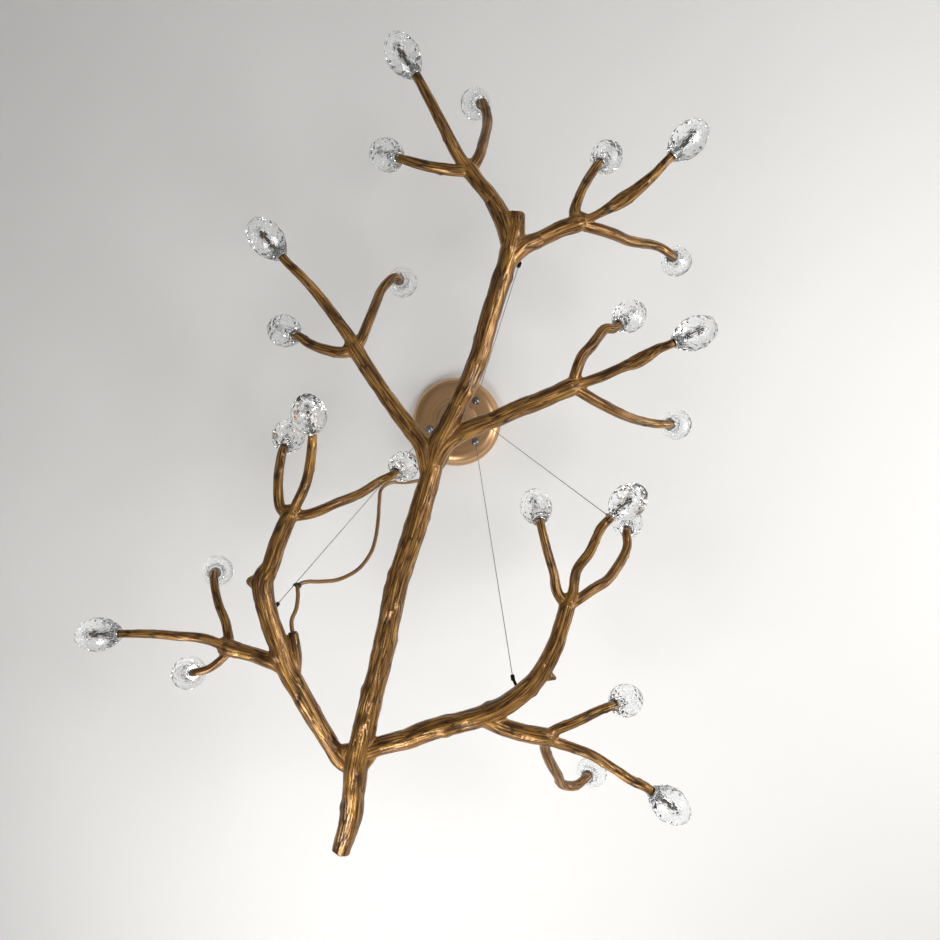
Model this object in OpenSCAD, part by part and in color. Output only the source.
// Branch chandelier: cast branches with 24 crystal buds, hung by four wires from a round canopy.
// The origin is the middle of the ceiling face. +Z points up into the ceiling, so all hangs below zero.
// Branch places are read from below: X to the right, Y away from the short end, heights over their plane.

/* [Hanging] */
// Height of the ceiling over the branch plane
branch_drop = 480; // [440:5:560]
// Thickness of the hanging wires
wire_d = 1.5; // [1:0.1:3]
// Length of wire held inside a grip or an anchor
wire_grip = 4; // [2:0.5:5]

/* [Canopy] */
// Outer width of the canopy
canopy_d = 200; // [190:2:240]
// Height of the canopy
canopy_depth = 36; // [32:1:60]
// Height of the upright skirt at the ceiling
skirt_h = 12; // [10:0.5:16]
// Width of the flat plate inside the sloping rim
plate_d = 150; // [148:2:170]
// Thickness of the canopy's sheet
canopy_wall = 1.5; // [1:0.1:2.5]
// Width of the round hub under the plate
hub_d = 92; // [60:1:100]
// Thickness of the hub
hub_h = 5; // [3:0.5:10]

/* [Ceiling bracket] */
// Width of the bracket strap
strap_w = 28; // [24:1:36]
// Thickness of the bracket strap
strap_t = 2.5; // [2:0.1:4]
// Distance between the two ceiling screw holes
screw_spacing = 120; // [110:1:130]
// Width of each ceiling screw hole
screw_hole_d = 5.5; // [4:0.1:7]
// Width of the mains cable hole in the strap
mains_hole_d = 12; // [8:0.5:16]
// Thread of the screws that hold the canopy
canopy_screw_d = 4; // [3:0.1:5]

/* [Cable grips] */
// Radius of the circle that the grips stand on
grip_circle_r = 63; // [60:0.5:64]
// Width of a grip's dome
grip_d = 17.5; // [14:0.5:20]
// Height of a grip's dome
grip_h = 9; // [6:0.5:14]
// Thread of a grip
grip_thread_d = 8; // [6:0.5:10]
// Width of the flange under a grip's lock nut
lock_nut_w = 15; // [13:0.5:16]
// Thickness of a lock nut
lock_nut_h = 4; // [3:0.5:6]

/* [Electrics] */
// Length of the lamp driver
driver_l = 100; // [80:1:104]
// Width of the lamp driver
driver_w = 34; // [28:1:36]
// Height of the lamp driver
driver_h = 19; // [15:0.5:22]
// Length of the terminal block
terminal_l = 30; // [24:1:34]
// Width of the terminal block
terminal_w = 20; // [16:0.5:24]
// Height of the terminal block
terminal_h = 14; // [10:0.5:18]
// Thickness of the power cord
cord_d = 7; // [6:0.25:8]
// Width of the band that ties the cord to its wire
tie_w = 4; // [2.5:0.5:6]
// Thickness of that band
tie_t = 1.2; // [0.8:0.1:2]
// Length of the gland that lets the cord out of the canopy
gland_h = 20; // [14:1:26]

/* [Branches] */
// Length of the branches, from the first stem's tip to the trunk's end
branch_length = 1225; // [1200:5:1350]
// Width of the branches, from the left stems' outermost tip to the right ones'
branch_width = 910; // [890:5:1000]
// Usual thickness of the trunk
trunk_d = 36; // [32:1:42]
// Usual thickness of a limb
limb_d = 30; // [26:1:34]
// Usual thickness of a stem
stem_d = 16; // [14:0.5:19]
// Depth of the bark's furrows as a share of the radius
bark_depth = 0.06; // [0:0.01:0.1]
// Thickness of the spigots that join the castings
spigot_d = 11; // [8:0.5:13]
// Length of the spigots
spigot_l = 14; // [8:1:18]
// How far the webs reach out of a crotch
web_reach = 26; // [16:1:32]

/* [Anchors] */
// Thickness of the posts that hold the wires' lower ends
post_d = 5; // [3:0.5:6]
// Thread of the set screw that pinches each wire
set_screw_d = 2.5; // [2:0.25:3]
// Width of the barrel on each post
barrel_d = 7; // [6:0.5:10]
// Length of the barrel on each post
barrel_l = 8; // [7:0.5:12]

/* [Lamp holders] */
// Width of the collar's flange at a stem's tip
flange_d = 20; // [18:0.5:22]
// Thickness of the collar's flange
flange_t = 3; // [2:0.5:5]
// Outer width of the neck that a crystal slides on
neck_d = 17; // [15.5:0.5:18]
// Height of the neck over the flange
neck_h = 12; // [9:0.5:14]
// Wall of the neck
neck_wall = 1.5; // [1:0.1:2]
// Thickness of the nipple that fixes the collar in its stem
nipple_d = 6; // [5:0.25:7]
// Length of the nipple
nipple_l = 10; // [6:0.5:12]
// Width of the wire hole through the nipple
lead_hole_d = 3; // [2:0.25:4]
// Height of the ceramic lamp base
base_h = 8; // [6:0.5:9]
// Width of the capsule lamp
lamp_d = 9.5; // [8:0.25:11]
// Height of the capsule lamp over its base
lamp_h = 39; // [30:0.5:43]
// Distance between the lamp's two pins
pin_spacing = 4; // [3.5:0.25:5]
// Thickness of a lamp pin
pin_d = 0.7; // [0.5:0.1:0.9]
// Length of a lamp pin
pin_l = 5; // [4:0.5:5.5]

/* [Crystals] */
// Width of a crystal
crystal_d = 55; // [46:1:58]
// Width of its base, on the collar
crystal_base_d = 25; // [23:0.5:28]
// Width of its flat outer end
crystal_tip_d = 30; // [24:1:36]
// Length of a crystal
crystal_l = 65; // [62:1:80]
// Facets round a crystal
crystal_sides = 10; // [8:1:14]
// Bands of facets along a crystal
crystal_bands = 6; // [4:1:8]

/* [Clearances] */
// Sliding clearance of a crystal on its neck, on the radius
slide_gap = 0.1; // [0.05:0.01:0.2]
// Clearance of fixed pieces in their holes, on the radius
fit_gap = 0.15; // [0.1:0.05:0.3]
// Air between the lamp and its crystal, on the radius
lamp_air = 1.5; // [1:0.1:1.9]

/* [Hidden] */
// Sides of a branch tube and rings for each leg of a route
branch_sides = 10;
stem_sides = 8;
rings_per_leg = 2;
// Roundness of true circles
$fn = 32;
// Fullness of a crystal's barrel: 1 follows a sine, less is fuller
crystal_belly = 0.8;

// The routes below are drawn for branches 1225 long and 910 wide, and are spread to the sizes asked for
lengthen = branch_length / 1225;
widen = branch_width / 910;
function spread(route) = [for (p = route) [p[0] * widen, p[1] * lengthen, p[2] * lengthen, p[3]]];
function spot(p) = [p[0] * widen, p[1] * lengthen, p[2] * lengthen];
function stem(points, way) = [spread(points), way];

// --- Branch routes: [x, y, height over the branch plane, thickness as a share of the usual one] ---
TRUNK = spread([[-30, 105, 5, 0.95], [-45, 160, 0, 1], [-60, 210, 0, 1.05], [-75, 255, 0, 1],
    [-90, 305, 0, 1.05], [-100, 355, 0, 1], [-110, 405, 0, 1.05], [-120, 445, 0, 1],
    [-130, 485, 0, 1.05], [-140, 530, 0, 1.1], [-150, 575, -5, 1.1], [-155, 625, -10, 1.05],
    [-160, 665, -10, 1], [-175, 715, -10, 0.85]]);
UPPER = spread([[-35, 125, 5, 1.1], [-25, 75, 5, 1.1], [-5, 35, 5, 1.1], [10, 5, 5, 1.1],
    [30, -35, 5, 1.1], [45, -75, 10, 1.1], [60, -130, 10, 1.1], [75, -180, 10, 1.1],
    [90, -225, 10, 1.1], [100, -265, 10, 1.2], [105, -305, 10, 0.95]]);
LIMB_A = spread([[95, -250, 10, 1], [85, -290, 10, 1.05], [65, -330, 15, 0.9], [45, -355, 15, 0.85],
    [30, -375, 15, 0.85]]);
LIMB_B = spread([[90, -225, 10, 1], [115, -250, 10, 1], [145, -265, 15, 0.9], [175, -280, 15, 0.9],
    [205, -290, 15, 0.95]]);
LIMB_C = spread([[-35, 125, 5, 1], [-45, 75, 5, 1], [-65, 45, 10, 0.95], [-85, 20, 10, 0.9],
    [-110, -15, 10, 0.85], [-130, -45, 10, 0.85], [-155, -85, 10, 0.85]]);
LIMB_D = spread([[-35, 120, 5, 1], [-15, 75, 5, 1], [15, 50, 10, 1], [65, 30, 10, 0.95],
    [110, 10, 10, 1], [150, -5, 10, 1], [195, -25, 10, 1]]);
LOWER_LEFT = spread([[-150, 580, -5, 1], [-175, 575, 0, 0.95], [-205, 530, 0, 0.95],
    [-240, 470, 0, 1.05], [-265, 425, 0, 1.1], [-280, 380, 0, 1.1], [-295, 335, 0, 1.05],
    [-302, 290, 0, 1.15], [-288, 260, 0, 0.95], [-277, 225, 0, 0.95], [-260, 185, 0, 0.9]]);
LIMB_F = spread([[-260, 430, 0, 0.9], [-290, 415, 0, 0.85], [-320, 405, 0, 0.8], [-355, 395, 0, 0.8]]);
LOWER_RIGHT = spread([[-145, 560, -5, 1], [-110, 550, 0, 1], [-70, 540, 0, 1.1], [-30, 525, 0, 1.15],
    [10, 515, 0, 1.1], [45, 505, 0, 1.1], [80, 490, 0, 1.1], [110, 470, 0, 1.05], [140, 440, 0, 1],
    [165, 395, 0, 0.95], [175, 365, 0, 0.9], [185, 330, 0, 0.9]]);
LIMB_H = spread([[50, 505, 0, 1], [80, 520, 0, 0.95], [115, 530, 0, 0.95], [150, 535, -5, 0.95]]);
// The hollow twig that takes in the power cord
CORD_TWIG = spread([[-250, 445, 0, 0.6], [-250, 412, 8, 0.6], [-258, 375, 16, 0.6]]);

// --- Stems: the places from the fork to the tip, and the way the bud points ---
STEM_1 = stem([[10, -400, 10, 1.3], [-20, -450, -10, 1.15], [-55, -510, -20, 1]], [-55, -85, -5]);
STEM_2 = stem([[45, -405, 25, 1.2], [55, -450, 50, 1.1], [60, -490, 75, 1.15],
    [50, -530, 100, 0.95]], [-25, -45, 85]);
STEM_3 = stem([[0, -375, 10, 1.2], [-35, -380, 10, 1.1], [-85, -400, 25, 1]], [-62, -43, 60]);
STEM_4 = stem([[200, -310, 15, 1.2], [210, -340, 20, 1], [225, -370, 30, 1],
    [245, -400, 45, 1]], [45, -60, 65]);
STEM_5 = stem([[240, -305, 10, 0.9], [270, -320, 0, 1.5], [295, -335, -10, 1.3], [320, -355, -20, 1],
    [345, -380, -25, 0.95]], [70, -70, 0]);
STEM_6 = stem([[260, -280, 30, 1.2], [300, -275, 55, 1.1], [350, -275, 80, 1],
    [385, -265, 105, 0.9]], [45, -5, 90]);
STEM_7 = stem([[-165, -105, 10, 1.3], [-205, -160, 0, 1.1], [-235, -195, -15, 1],
    [-265, -225, -20, 0.9]], [-65, -75, -5]);
STEM_8 = stem([[-145, -105, 15, 1.1], [-130, -160, 45, 1.05], [-120, -195, 65, 1], [-105, -220, 85, 1],
    [-95, -225, 110, 0.9]], [5, -15, 100]);
STEM_9 = stem([[-175, -80, 10, 1.2], [-205, -85, 10, 1.1], [-230, -95, 15, 1.05],
    [-255, -110, 25, 1]], [-66, -33, 65]);
STEM_10 = stem([[210, -70, 15, 1.2], [230, -95, 20, 1.15], [250, -120, 25, 1.1],
    [275, -130, 40, 1]], [65, -52, 57]);
STEM_11 = stem([[240, -40, 10, 1.1], [275, -55, 0, 1.1], [300, -65, -5, 1.5], [325, -80, -15, 1.1],
    [350, -90, -20, 0.95]], [85, -38, 0]);
STEM_12 = stem([[240, 0, 20, 1.2], [275, 15, 35, 1.1], [310, 25, 60, 1.05], [345, 30, 80, 1],
    [380, 30, 105, 0.9]], [55, -5, 85]);
STEM_13 = stem([[-250, 170, 0, 1.1], [-230, 130, -10, 1.1], [-220, 90, -20, 1],
    [-215, 50, -38, 0.95]], [7, -63, -80]);
STEM_14 = stem([[-275, 170, 5, 1.1], [-280, 140, 10, 1.05], [-280, 110, 15, 1],
    [-275, 75, 25, 0.95]], [0, -60, 80]);
STEM_15 = stem([[-225, 180, 10, 1.1], [-190, 165, 25, 1.05], [-155, 150, 50, 1.05], [-125, 130, 70, 1],
    [-100, 115, 90, 0.95]], [30, -30, 90]);
STEM_16 = stem([[-360, 380, 10, 1], [-370, 360, 25, 0.95], [-390, 330, 45, 0.9], [-405, 305, 70, 0.9],
    [-415, 290, 100, 0.85]], [-25, 5, 95]);
STEM_17 = stem([[-395, 380, 0, 1], [-430, 375, -5, 0.95], [-475, 370, -10, 0.9],
    [-525, 370, -10, 0.85]], [-100, 5, 10]);
STEM_18 = stem([[-365, 410, 5, 0.9], [-390, 430, 10, 0.85], [-420, 440, 20, 0.8]], [-55, 25, 80]);
STEM_19 = stem([[170, 305, 5, 1.1], [165, 275, 10, 1], [155, 240, 15, 0.95],
    [145, 195, 30, 0.9]], [-10, -62, 78]);
STEM_20 = stem([[195, 305, 0, 1.1], [200, 270, -5, 1.05], [220, 240, -10, 1], [235, 205, -15, 1],
    [255, 180, -25, 0.95]], [45, -60, -75]);
STEM_21 = stem([[225, 305, 10, 1.1], [255, 290, 25, 1.1], [280, 265, 45, 1.05], [295, 240, 60, 1],
    [300, 215, 85, 0.95]], [25, -30, 95]);
STEM_22 = stem([[170, 525, 0, 1.1], [200, 515, 5, 1.1], [240, 500, 15, 1],
    [265, 495, 25, 0.95]], [68, 4, 70]);
STEM_23 = stem([[150, 555, 5, 1.1], [160, 585, 20, 1.1], [175, 615, 40, 1.1], [185, 640, 60, 1.05],
    [210, 650, 75, 1], [235, 645, 100, 0.9]], [35, 20, 90]);
STEM_24 = stem([[165, 545, 0, 1.1], [195, 555, 0, 1.05], [225, 565, -5, 1], [260, 585, -10, 1],
    [285, 600, -15, 1], [315, 615, -20, 0.95]], [80, 60, 5]);
STEMS = [STEM_1, STEM_2, STEM_3, STEM_4, STEM_5, STEM_6, STEM_7, STEM_8, STEM_9, STEM_10, STEM_11,
    STEM_12, STEM_13, STEM_14, STEM_15, STEM_16, STEM_17, STEM_18, STEM_19, STEM_20, STEM_21, STEM_22,
    STEM_23, STEM_24];
// Each fork: the limb it ends, the legs of that limb cast with the piece before, and its three stems' numbers
FORKS = [[LIMB_A, 2, [3, 1, 2]], [LIMB_B, 2, [4, 5, 6]], [LIMB_C, 2, [9, 7, 8]], [LIMB_D, 3, [10, 11, 12]],
    [LOWER_LEFT, 8, [14, 13, 15]], [LIMB_F, 2, [16, 17, 18]], [LOWER_RIGHT, 9, [19, 20, 21]],
    [LIMB_H, 2, [22, 24, 23]]];
FORK_LETTERS = ["a", "b", "c", "d", "e", "f", "g", "h"];
// How many legs of each limb are cast with the trunk
upper_leg_count = 3;
lower_leg_count = 2;

// --- Wires: where each grip stands round the canopy, and its anchor's foot and head on the branches ---
GRIP_ANGLES = [163, -46, 48, 6];
ANCHORS = [[spot([-295, 335, 0]), spot([-285, 330, 20])], [spot([90, -225, 10]), spot([110, -225, 20])],
    [spot([110, 470, 0]), spot([100, 450, 25])], [spot([247, 191, -16]), spot([252, 184, -2])]];

// --- Power cord: from inside the gland to inside the hollow twig, as [x, y, z], hung between these ends ---
cord_in_gland = 6;
cord_end_h = 12;
cord_top = -canopy_depth - hub_h - gland_h + cord_in_gland;
cord_bottom = -branch_drop + cord_end_h;
CORD_ROUTE = [[0, 0, -55], [0, 0, -75], [0, 10, -100], [-5, 30, -125], [-10, 65, -155], [-22, 98, -185],
    [-42, 120, -212], [-68, 130, -234], [-95, 134, -250], [-120, 134, -266], [-137, 146, -286],
    [-138, 172, -308], [-137, 200, -330], [-139, 232, -350], [-146, 258, -368], [-165, 283, -385],
    [-195, 298, -398], [-224, 300, -410], [-245, 299, -418], [-258, 304, -427], [-256, 320, -438],
    [-256, 338, -449], [-261, 356, -459], [-258, 375, -464], [-254, 393, -468]];
cord_fall = (cord_bottom - cord_top) / (last(CORD_ROUTE)[2] - CORD_ROUTE[0][2]);
CORD = [for (p = CORD_ROUTE)
    [p[0] * widen, p[1] * lengthen, cord_top + (p[2] - CORD_ROUTE[0][2]) * cord_fall]];
// The number of the cord's corner that is tied to the first wire
tied_corner_index = 19;

// --- Fits ---
neck_hole_d = neck_d - 2 * neck_wall;
base_d = neck_hole_d - 2 * fit_gap;
lamp_top = flange_t + base_h + lamp_h;
crystal_bore_d = neck_d + 2 * slide_gap;
lamp_bore_d = lamp_d + 2 * lamp_air;
spigot_hole_d = spigot_d + 2 * fit_gap;
nipple_hole_d = nipple_d + 2 * fit_gap;
plate_top = -canopy_depth + canopy_wall;
strap_half = canopy_d / 2 - canopy_wall - 1.5;
tab_h = skirt_h - 2;
screw_z = -skirt_h / 2;
cord_hole_d = cord_d + 2 * fit_gap;
gland_thread_d = cord_d + 5;
twig_bore_d = cord_d + 4;
twig_bore_l = 26;
bush_lip = 2;
bush_l = 14;
tie_slack = 1;
hub_edge = 2;
driver_corner = 3;
terminal_bore_d = 4;
tip_lead = 14;
driver_x = -30;
terminal_x = 30;

// --- Small helpers ---
function unit(v) = v / norm(v);
function place(p) = [p[0], p[1], p[2]];
function last(list) = list[len(list) - 1];
function mid(p, q, share) = place(p) * (1 - share) + place(q) * share;
function side_of(t, s) = unit(s - t * (s * t));
// A smooth curve through a, b, c and d, between b and c
function curve(a, b, c, d, t) = 0.5 * (2 * b + (c - a) * t + (2 * a - 5 * b + 4 * c - d) * t * t
    + (3 * b - a - 3 * c + d) * t * t * t);
function ring_centres(route, per) = concat([for (i = [0:len(route) - 2], j = [0:per - 1])
    curve(route[max(i - 1, 0)], route[i], route[i + 1], route[min(i + 2, len(route) - 1)], j / per)],
    [last(route)]);
function tangents(rings) = [for (i = [0:len(rings) - 1])
    unit(place(rings[min(i + 1, len(rings) - 1)]) - place(rings[max(i - 1, 0)]))];
function end_way(route) = last(tangents(ring_centres(route, rings_per_leg)));
function sides_along(t) = [for (i = 0, s = side_of(t[0], [0.1, 0.2, 1]); i < len(t);
    s = i + 1 < len(t) ? side_of(t[i + 1], s) : s, i = i + 1) s];
function lobe(a, i) = 1 + bark_depth * (sin(3 * a + 25 * i) + 0.6 * sin(5 * a - 40 * i));
function ring_points(c, r, t, s, sides, i, rough) = [for (k = [0:sides - 1])
    let (a = 360 * k / sides) place(c) + r * (rough ? lobe(a, i) : 1) * (cos(a) * s + sin(a) * cross(t, s))];

// A closed tube from ring `from` to ring `to` of a route; `end_way` squares its last ring to the bud
module tube(route, d, from = 0, to = -1, sides = branch_sides, per = rings_per_leg, end_way = [0, 0, 0],
    rough = true) {
    rings = ring_centres(route, per);
    t0 = tangents(rings);
    t = norm(end_way) > 0 ? concat([for (i = [0:len(t0) - 2]) t0[i]], [unit(end_way)]) : t0;
    s = sides_along(t);
    stop = to < 0 ? len(rings) - 1 : to;
    n = stop - from;
    points = [for (i = [from:stop])
        each ring_points(rings[i], rings[i][3] * d / 2, t[i], s[i], sides, i, rough)];
    walls = [for (i = [0:n - 1], k = [0:sides - 1]) let (m = (k + 1) % sides)
        each [[i * sides + k, (i + 1) * sides + k, (i + 1) * sides + m],
              [i * sides + k, (i + 1) * sides + m, i * sides + m]]];
    first_cap = [[for (k = [0:sides - 1]) k]];
    last_cap = [[for (k = [0:sides - 1]) n * sides + sides - 1 - k]];
    polyhedron(points, concat(walls, first_cap, last_cap), convexity = 6);
}

// Stands its children on place p, with their Z along v
module along(p, v) {
    u = unit(v);
    translate(place(p)) rotate([0, acos(u[2]), atan2(u[1], u[0])]) children();
}

module ball(p, r) {
    translate(place(p)) sphere(r = r, $fn = 6);
}

// --- Branches ---
module on_branch_plane() {
    translate([0, 0, -branch_drop]) children();
}

function stem_route(n, fork) = let (stem = STEMS[n - 1], tip = last(stem[0]), way = unit(stem[1]),
    lead = [tip[0] - tip_lead * way[0], tip[1] - tip_lead * way[1], tip[2] - tip_lead * way[2], tip[3]])
    concat([[last(fork)[0], last(fork)[1], last(fork)[2], stem[0][0][3]]],
        [for (i = [0:len(stem[0]) - 2]) stem[0][i]], [lead], [tip]);
function stem_tip(n) = place(last(STEMS[n - 1][0]));
function stem_way(n) = unit(STEMS[n - 1][1]);

// Stands its children at the tip of a stem, Z towards the bud
module at_tip(n) {
    on_branch_plane() along(stem_tip(n), stem_way(n)) children();
}

// The spigot or its hole, behind the joint at the end of `legs` legs of a route
module spigot(route, legs, d, l) {
    rings = ring_centres(route, rings_per_leg);
    at = legs * rings_per_leg;
    along(rings[at], -tangents(rings)[at]) translate([0, 0, -1]) cylinder(d = d, h = l + 1, $fn = 16);
}

// Bark knots: small bumps that stand out of a route's side at every second ring
module knots(route, d, from, to, size) {
    rings = ring_centres(route, rings_per_leg);
    t = tangents(rings);
    s = sides_along(t);
    for (i = [from:2:to]) {
        a = 137 * i;
        out = cos(a) * s[i] + sin(a) * cross(t[i], s[i]);
        r = rings[i][3] * d / 2;
        hull() {
            ball(place(rings[i]) + out * r * (1 - size * 0.6), r * size);
            ball(place(rings[i]) + out * r * (1 - size) + t[i] * r * 1.4, r * size * 0.5);
        }
    }
}

function toward(p, q, l) = place(p) + unit(place(q) - place(p)) * l;

// A web of metal in the crotch between two routes that leave place p towards a and b; its thickness is a
// share of the usual branch's
module web(p, a, b, share, reach = web_reach, d = limb_d) {
    r = share * d / 2;
    hull() {
        ball(p, r * 1.4);
        ball(toward(p, a, reach), r);
        ball(toward(p, b, reach), r);
    }
}

// A hole for an anchor's post
module anchor_hole(k) {
    foot = ANCHORS[k][0];
    way = ANCHORS[k][1] - foot;
    along(foot, way) cylinder(d = post_d + 2 * fit_gap, h = norm(way), $fn = 16);
}

module trunk() {
    color("#6a4a26") on_branch_plane() difference() {
        union() {
            tube(TRUNK, trunk_d);
            tube(UPPER, limb_d, 0, upper_leg_count * rings_per_leg);
            tube(LIMB_C, limb_d, 0, FORKS[2][1] * rings_per_leg);
            tube(LIMB_D, limb_d, 0, FORKS[3][1] * rings_per_leg);
            tube(LOWER_LEFT, limb_d, 0, lower_leg_count * rings_per_leg);
            tube(LOWER_RIGHT, limb_d, 0, lower_leg_count * rings_per_leg);
            knots(TRUNK, trunk_d, 3, 24, 0.4);
            web(mid(UPPER[1], UPPER[0], 0.2), UPPER[2], LIMB_D[2], 0.54);
            web(mid(UPPER[0], LIMB_C[1], 0.5), UPPER[1], LIMB_C[1], 0.54);
            web(mid(TRUNK[10], LOWER_LEFT[1], 0.3), LOWER_LEFT[2], TRUNK[9], 0.6);
            web(mid(LOWER_RIGHT[0], TRUNK[10], 0.3), LOWER_RIGHT[1], TRUNK[9], 0.6, web_reach * 1.2);
            web(mid(LOWER_RIGHT[0], TRUNK[10], 0.3), LOWER_RIGHT[1], TRUNK[11], 0.6, web_reach * 1.2);
        }
        spigot(UPPER, upper_leg_count, spigot_hole_d, spigot_l + 1);
        spigot(LIMB_C, FORKS[2][1], spigot_hole_d, spigot_l + 1);
        spigot(LIMB_D, FORKS[3][1], spigot_hole_d, spigot_l + 1);
        spigot(LOWER_LEFT, lower_leg_count, spigot_hole_d, spigot_l + 1);
        spigot(LOWER_RIGHT, lower_leg_count, spigot_hole_d, spigot_l + 1);
    }
}

module upper_limb() {
    color("#7a5228") on_branch_plane() difference() {
        union() {
            tube(UPPER, limb_d, upper_leg_count * rings_per_leg);
            tube(LIMB_A, limb_d, 0, FORKS[0][1] * rings_per_leg);
            tube(LIMB_B, limb_d, 0, FORKS[1][1] * rings_per_leg);
            spigot(UPPER, upper_leg_count, spigot_d, spigot_l);
            knots(UPPER, limb_d, 8, 18, 0.4);
            web(mid(LIMB_A[0], LIMB_A[1], 0.25), UPPER[10], LIMB_A[2], 0.6);
            web(mid(UPPER[8], UPPER[9], 0.3), LIMB_B[1], UPPER[10], 0.54);
            web(mid(UPPER[8], LIMB_B[1], 0.1), LIMB_B[2], UPPER[7], 0.54);
        }
        spigot(LIMB_A, FORKS[0][1], spigot_hole_d, spigot_l + 1);
        spigot(LIMB_B, FORKS[1][1], spigot_hole_d, spigot_l + 1);
        anchor_hole(1);
    }
}

module lower_left_limb() {
    color("#7a5228") on_branch_plane() difference() {
        union() {
            tube(LOWER_LEFT, limb_d, lower_leg_count * rings_per_leg, FORKS[4][1] * rings_per_leg);
            tube(LIMB_F, limb_d, 0, FORKS[5][1] * rings_per_leg);
            tube(CORD_TWIG, limb_d);
            spigot(LOWER_LEFT, lower_leg_count, spigot_d, spigot_l);
            knots(LOWER_LEFT, limb_d, 6, 15, 0.4);
            web(mid(LOWER_LEFT[4], LIMB_F[1], 0.1), LIMB_F[1], LOWER_LEFT[5], 0.54);
            web(LIMB_F[0], LIMB_F[1], LOWER_LEFT[3], 0.54);
            web(mid(CORD_TWIG[0], LOWER_LEFT[4], 0.4), CORD_TWIG[1], LOWER_LEFT[5], 0.4);
            hull() {
                ball(place(LOWER_LEFT[7]) - [0.1, 0, 0] * limb_d, limb_d * 0.53);
                ball(place(LOWER_LEFT[7]) - [0.6, 0.07, 0] * limb_d, limb_d * 0.27);
            }
        }
        spigot(LOWER_LEFT, FORKS[4][1], spigot_hole_d, spigot_l + 1);
        spigot(LIMB_F, FORKS[5][1], spigot_hole_d, spigot_l + 1);
        anchor_hole(0);
        along(last(CORD_TWIG), -end_way(CORD_TWIG)) translate([0, 0, -1])
            cylinder(d = twig_bore_d, h = twig_bore_l + 1, $fn = 16);
    }
}

module lower_right_limb() {
    color("#7a5228") on_branch_plane() difference() {
        union() {
            tube(LOWER_RIGHT, limb_d, lower_leg_count * rings_per_leg, FORKS[6][1] * rings_per_leg);
            tube(LIMB_H, limb_d, 0, FORKS[7][1] * rings_per_leg);
            spigot(LOWER_RIGHT, lower_leg_count, spigot_d, spigot_l);
            knots(LOWER_RIGHT, limb_d, 6, 16, 0.4);
            web(mid(LIMB_H[0], LIMB_H[1], 0.3), LIMB_H[1], LOWER_RIGHT[6], 0.54);
            web(mid(LIMB_H[0], LIMB_H[1], 0.15), LIMB_H[1], LOWER_RIGHT[4], 0.47);
            hull() {
                ball(place(LOWER_RIGHT[8]) + [0.17, -0.17, 0] * limb_d, limb_d * 0.47);
                ball(place(LOWER_RIGHT[8]) + [0.83, 0.1, 0] * limb_d, limb_d * 0.13);
            }
        }
        spigot(LOWER_RIGHT, FORKS[6][1], spigot_hole_d, spigot_l + 1);
        spigot(LIMB_H, FORKS[7][1], spigot_hole_d, spigot_l + 1);
        anchor_hole(2);
    }
}

module fork(k) {
    limb = FORKS[k][0];
    legs = FORKS[k][1];
    stems = FORKS[k][2];
    end = last(limb);
    color("#8a5f2c") on_branch_plane() difference() {
        union() {
            tube(limb, limb_d, legs * rings_per_leg);
            spigot(limb, legs, spigot_d, spigot_l);
            hull() {
                ball(end, limb_d * 0.46);
                ball((place(end) * 2 + place(limb[len(limb) - 2])) / 3, limb_d * 0.44);
            }
            for (n = stems) {
                route = stem_route(n, limb);
                tube(route, stem_d, sides = stem_sides, end_way = stem_way(n));
                knots(route, stem_d, 3, 5, 0.4);
            }
            for (j = [0:1]) {
                web(end, STEMS[stems[j] - 1][0][0], STEMS[stems[j + 1] - 1][0][0], 0.69,
                    web_reach * 0.75, stem_d);
            }
        }
        for (n = stems) {
            along(stem_tip(n), -stem_way(n)) translate([0, 0, -1])
                cylinder(d = nipple_hole_d, h = nipple_l + 2, $fn = 12);
        }
        if (k == 6) anchor_hole(3);
    }
}

// --- Lamp holders, lamps and crystals, each drawn with its stem's tip at zero ---
module collar() {
    difference() {
        union() {
            cylinder(d = flange_d, h = flange_t);
            cylinder(d = neck_d, h = flange_t + neck_h);
            translate([0, 0, -nipple_l]) cylinder(d = nipple_d, h = nipple_l + 1);
        }
        translate([0, 0, flange_t]) cylinder(d = neck_hole_d, h = neck_h + 1);
        translate([0, 0, -nipple_l - 1]) cylinder(d = lead_hole_d, h = nipple_l + flange_t + 2);
    }
}

module lamp_collars() {
    color("#b9b9b6") for (n = [1:len(STEMS)]) at_tip(n) collar();
}

module ceramic_base() {
    translate([0, 0, flange_t]) difference() {
        cylinder(d = base_d, h = base_h);
        for (x = [-1, 1]) translate([x * pin_spacing / 2, 0, base_h - pin_l - 0.5])
            cylinder(d = pin_d + 2 * fit_gap, h = pin_l + 1);
    }
}

module lamp_bases() {
    color("#ece7dc") for (n = [1:len(STEMS)]) at_tip(n) ceramic_base();
}

module capsule_lamp() {
    translate([0, 0, flange_t + base_h]) {
        cylinder(d = lamp_d, h = lamp_h - lamp_d / 2);
        translate([0, 0, lamp_h - lamp_d / 2]) sphere(d = lamp_d);
        for (x = [-1, 1]) translate([x * pin_spacing / 2, 0, -pin_l]) cylinder(d = pin_d, h = pin_l + 1);
    }
}

module capsule_lamps() {
    color("#f4efe2") for (n = [1:len(STEMS)]) at_tip(n) capsule_lamp();
}

// Half width of a crystal at a share of its length: a barrel, cut flat at both ends
function flat_angle(d) = asin(pow(d / crystal_d, 1 / crystal_belly));
function crystal_r(share) = let (first = flat_angle(crystal_base_d), last = 180 - flat_angle(crystal_tip_d))
    crystal_d / 2 * pow(sin(first + (last - first) * share), crystal_belly);

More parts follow.
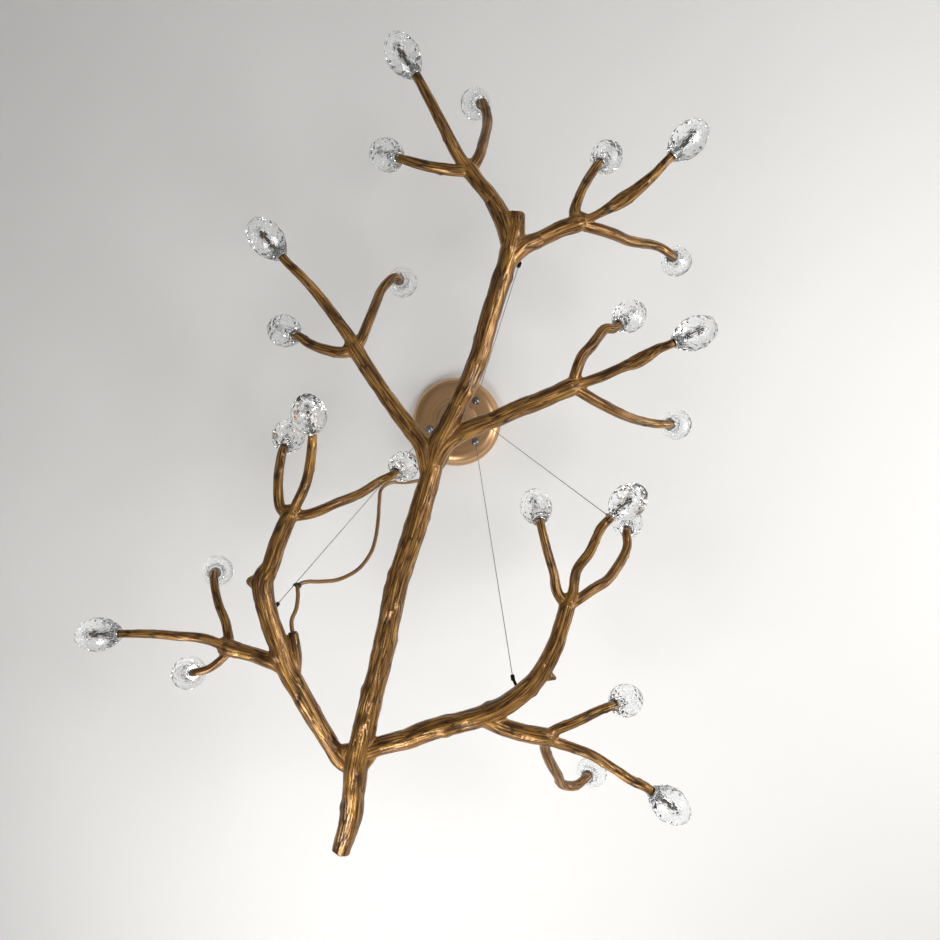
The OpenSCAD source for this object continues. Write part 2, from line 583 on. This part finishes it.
module crystal_body() {
    n = crystal_sides;
    points = [for (i = [0:crystal_bands], k = [0:n - 1]) let (a = 360 * (k + (i % 2) / 2) / n,
        share = i / crystal_bands, r = crystal_r(share)) [r * cos(a), r * sin(a), crystal_l * share]];
    facets = [for (i = [0:crystal_bands - 1], k = [0:n - 1]) let (m = (k + 1) % n, a = i * n, b = (i + 1) * n,
        even = i % 2 == 0)
        each (even ? [[a + k, b + k, a + m], [a + m, b + k, b + m]]
                   : [[a + k, b + k, b + m], [a + k, b + m, a + m]])];
    base_facet = [[for (k = [0:n - 1]) k]];
    tip_facet = [[for (k = [0:n - 1]) crystal_bands * n + n - 1 - k]];
    polyhedron(points, concat(facets, base_facet, tip_facet), convexity = 2);
}

module crystal(n) {
    color("#dfe8ee") at_tip(n) difference() {
        translate([0, 0, flange_t]) crystal_body();
        translate([0, 0, flange_t - 1]) cylinder(d = crystal_bore_d, h = neck_h + 2);
        translate([0, 0, flange_t]) cylinder(d = lamp_bore_d, h = base_h + lamp_h - lamp_d / 2 + lamp_air);
        translate([0, 0, lamp_top - lamp_d / 2 + lamp_air]) sphere(d = lamp_bore_d);
    }
}

// --- Canopy and what it holds ---
module canopy() {
    rim = (canopy_d - plate_d) / 2;
    drop = canopy_depth - skirt_h;
    steps = 8;
    outer = [for (i = [0:steps]) let (a = 90 * i / steps)
        [plate_d / 2 + rim * cos(a), -skirt_h - drop * sin(a)]];
    inner = [for (i = [steps:-1:0]) let (a = 90 * i / steps)
        [plate_d / 2 + (rim - canopy_wall) * cos(a), -skirt_h - (drop - canopy_wall) * sin(a)]];
    color("#b08060") difference() {
        rotate_extrude($fn = 96) polygon(concat([[canopy_d / 2, 0]], outer, [[0, -canopy_depth]],
            [[0, plate_top]], inner, [[canopy_d / 2 - canopy_wall, 0]]));
        for (a = GRIP_ANGLES) rotate(a) translate([grip_circle_r, 0, -canopy_depth - 1])
            cylinder(d = grip_thread_d + 2 * fit_gap, h = canopy_wall + 2);
        translate([0, 0, -canopy_depth - 1])
            cylinder(d = gland_thread_d + 2 * fit_gap, h = canopy_wall + 2);
        for (side = [0, 180]) rotate(side) translate([canopy_d / 2 - canopy_wall - 1, 0, screw_z])
            rotate([0, 90, 0]) cylinder(d = canopy_screw_d + 2 * fit_gap, h = canopy_wall + 2);
    }
}

module canopy_hub() {
    color("#c09a72") difference() {
        translate([0, 0, -canopy_depth - hub_h]) union() {
            cylinder(d1 = hub_d - 2 * hub_edge, d2 = hub_d, h = hub_edge, $fn = 96);
            translate([0, 0, hub_edge]) cylinder(d = hub_d, h = hub_h - hub_edge, $fn = 96);
        }
        translate([0, 0, -canopy_depth - hub_h - 1])
            cylinder(d = gland_thread_d + 2 * fit_gap, h = hub_h + 2);
    }
}

module cord_gland() {
    color("#8d6a45") difference() {
        union() {
            translate([0, 0, -canopy_depth - hub_h - gland_h])
                cylinder(d1 = cord_d + 4, d2 = gland_thread_d + 6, h = gland_h);
            translate([0, 0, -canopy_depth - hub_h])
                cylinder(d = gland_thread_d, h = hub_h + canopy_wall + 2 * lock_nut_h);
            translate([0, 0, plate_top]) cylinder(d = gland_thread_d + 7, h = lock_nut_h, $fn = 6);
        }
        translate([0, 0, -canopy_depth - hub_h - gland_h - 1])
            cylinder(d = cord_hole_d, h = gland_h + hub_h + canopy_wall + 3 * lock_nut_h);
    }
}

module ceiling_bracket() {
    color("#c7c9cb") difference() {
        union() {
            translate([-strap_half, -strap_w / 2, -strap_t]) cube([2 * strap_half, strap_w, strap_t]);
            for (side = [0, 180]) rotate(side) translate([strap_half - strap_t, -strap_w / 2, -tab_h])
                cube([strap_t, strap_w, tab_h]);
        }
        for (x = [-1, 1]) translate([x * screw_spacing / 2, 0, -strap_t - 1])
            cylinder(d = screw_hole_d, h = strap_t + 2);
        translate([0, 0, -strap_t - 1]) cylinder(d = mains_hole_d, h = strap_t + 2);
        for (side = [0, 180]) rotate(side) translate([strap_half - strap_t - 1, 0, screw_z])
            rotate([0, 90, 0]) cylinder(d = canopy_screw_d + 2 * fit_gap, h = strap_t + 2);
    }
}

module canopy_screws() {
    color("#9c7a52") for (side = [0, 180]) rotate(side) translate([canopy_d / 2, 0, screw_z])
        rotate([0, 90, 0]) {
            cylinder(d = canopy_screw_d * 1.8, h = 2.2);
            translate([0, 0, -12]) cylinder(d = canopy_screw_d, h = 12.5);
        }
}

module cable_grips() {
    color("#d6d8da") for (a = GRIP_ANGLES) rotate(a) translate([grip_circle_r, 0, -canopy_depth]) {
        intersection() {
            translate([0, 0, -grip_h]) cylinder(d = grip_d, h = grip_h);
            scale([1, 1, 2 * grip_h / grip_d]) sphere(d = grip_d);
        }
        cylinder(d = grip_thread_d, h = canopy_wall + lock_nut_h + 3);
    }
}

module lock_nuts() {
    color("#a9abad") for (a = GRIP_ANGLES) rotate(a) translate([grip_circle_r, 0, plate_top]) difference() {
        cylinder(d = lock_nut_w, h = lock_nut_h, $fn = 6);
        translate([0, 0, -1]) cylinder(d = grip_thread_d + 2 * fit_gap, h = lock_nut_h + 2);
    }
}

module terminal_block() {
    color("#e8e6e0") translate([terminal_x - terminal_l / 2, -terminal_w / 2, -strap_t - terminal_h])
        difference() {
            cube([terminal_l, terminal_w, terminal_h]);
            for (i = [0:2]) translate([terminal_l * (i + 0.5) / 3, -1, terminal_h / 2])
                rotate([-90, 0, 0]) cylinder(d = terminal_bore_d, h = terminal_w + 2);
        }
}

module lamp_driver() {
    color("#f0f0ee") translate([driver_x, 0, -strap_t - driver_h]) linear_extrude(driver_h) union() {
        square([driver_w, driver_l - 2 * driver_corner], center = true);
        square([driver_w - 2 * driver_corner, driver_l], center = true);
        for (x = [-1, 1], y = [-1, 1])
            translate([x * (driver_w / 2 - driver_corner), y * (driver_l / 2 - driver_corner)])
                circle(r = driver_corner);
    }
}

// --- Wires, their anchors and the power cord ---
function grip_tip(k) = [grip_circle_r * cos(GRIP_ANGLES[k]), grip_circle_r * sin(GRIP_ANGLES[k]),
    -canopy_depth - grip_h];
function anchor_head(k) = ANCHORS[k][1] - [0, 0, branch_drop];

module hanging_wire(k) {
    way = unit(anchor_head(k) - grip_tip(k));
    color("#9a9a98") along(grip_tip(k) - way * wire_grip, way)
        cylinder(d = wire_d, h = norm(anchor_head(k) - grip_tip(k)) + wire_grip, $fn = 8);
}

module wire_anchors() {
    color("#2a2826") for (k = [0:3]) {
        foot = ANCHORS[k][0];
        way = unit(ANCHORS[k][1] - foot);
        wire_way = unit(grip_tip(k) - anchor_head(k));
        difference() {
            union() {
                on_branch_plane() along(foot + way * 2, way)
                    cylinder(d = post_d, h = norm(ANCHORS[k][1] - foot) - 2);
                along(anchor_head(k) - wire_way * barrel_l / 2, wire_way)
                    cylinder(d = barrel_d, h = barrel_l);
            }
            anchor_screw(k, fit_gap);
        }
    }
}

// The set screw that pinches a wire, square to its barrel; `gap` widens it into its hole
module anchor_screw(k, gap) {
    wire_way = unit(grip_tip(k) - anchor_head(k));
    out = unit(cross(wire_way, cross([0, 0, -1], wire_way)));
    along(anchor_head(k) + wire_way * barrel_l / 4 + out * (wire_d / 2), out)
        cylinder(d = set_screw_d + 2 * gap, h = barrel_d / 2 + 1.2);
}

module anchor_screws() {
    color("#4a4a4a") for (k = [0:3]) anchor_screw(k, 0);
}

module cord_bush() {
    color("#3a3128") on_branch_plane() along(last(CORD_TWIG), -end_way(CORD_TWIG)) difference() {
        union() {
            translate([0, 0, -bush_lip]) cylinder(d = twig_bore_d + 3, h = bush_lip);
            cylinder(d = twig_bore_d - 2 * fit_gap, h = bush_l);
        }
        translate([0, 0, -bush_lip - 1]) cylinder(d = cord_hole_d, h = bush_l + bush_lip + 2);
    }
}

module power_cord() {
    color("#8a6238") tube([for (p = CORD) concat(p, [1])], cord_d, sides = 8, rough = false);
}

// The tie that holds the power cord to the first wire: a band round both
module cord_tie() {
    way = unit(anchor_head(0) - grip_tip(0));
    corner = CORD[tied_corner_index];
    on_wire = grip_tip(0) + way * ((corner - grip_tip(0)) * way);
    gap = norm(corner - on_wire);
    x = unit(corner - on_wire);
    y = cross(way, x);
    color("#26221f") multmatrix([[x[0], y[0], way[0], on_wire[0]], [x[1], y[1], way[1], on_wire[1]],
        [x[2], y[2], way[2], on_wire[2]]])
        translate([0, 0, -tie_w / 2]) linear_extrude(tie_w) difference() {
            hull() {
                circle(d = wire_d + 2 * fit_gap + 2 * tie_t);
                translate([gap, 0]) circle(d = cord_d + tie_slack + 2 * tie_t);
            }
            circle(d = wire_d + 2 * fit_gap);
            translate([gap, 0]) circle(d = cord_d + tie_slack);
        }
}

ceiling_bracket();
canopy_screws();
canopy();
canopy_hub();
cord_gland();
cable_grips();
lock_nuts();
terminal_block();
lamp_driver();
trunk();
upper_limb();
lower_left_limb();
lower_right_limb();
for (k = [0:7]) fork(k);
lamp_collars();
lamp_bases();
capsule_lamps();
wire_anchors();
anchor_screws();
cord_bush();
cord_tie();
power_cord();
for (k = [0:3]) hanging_wire(k);
for (n = [1:24]) crystal(n);
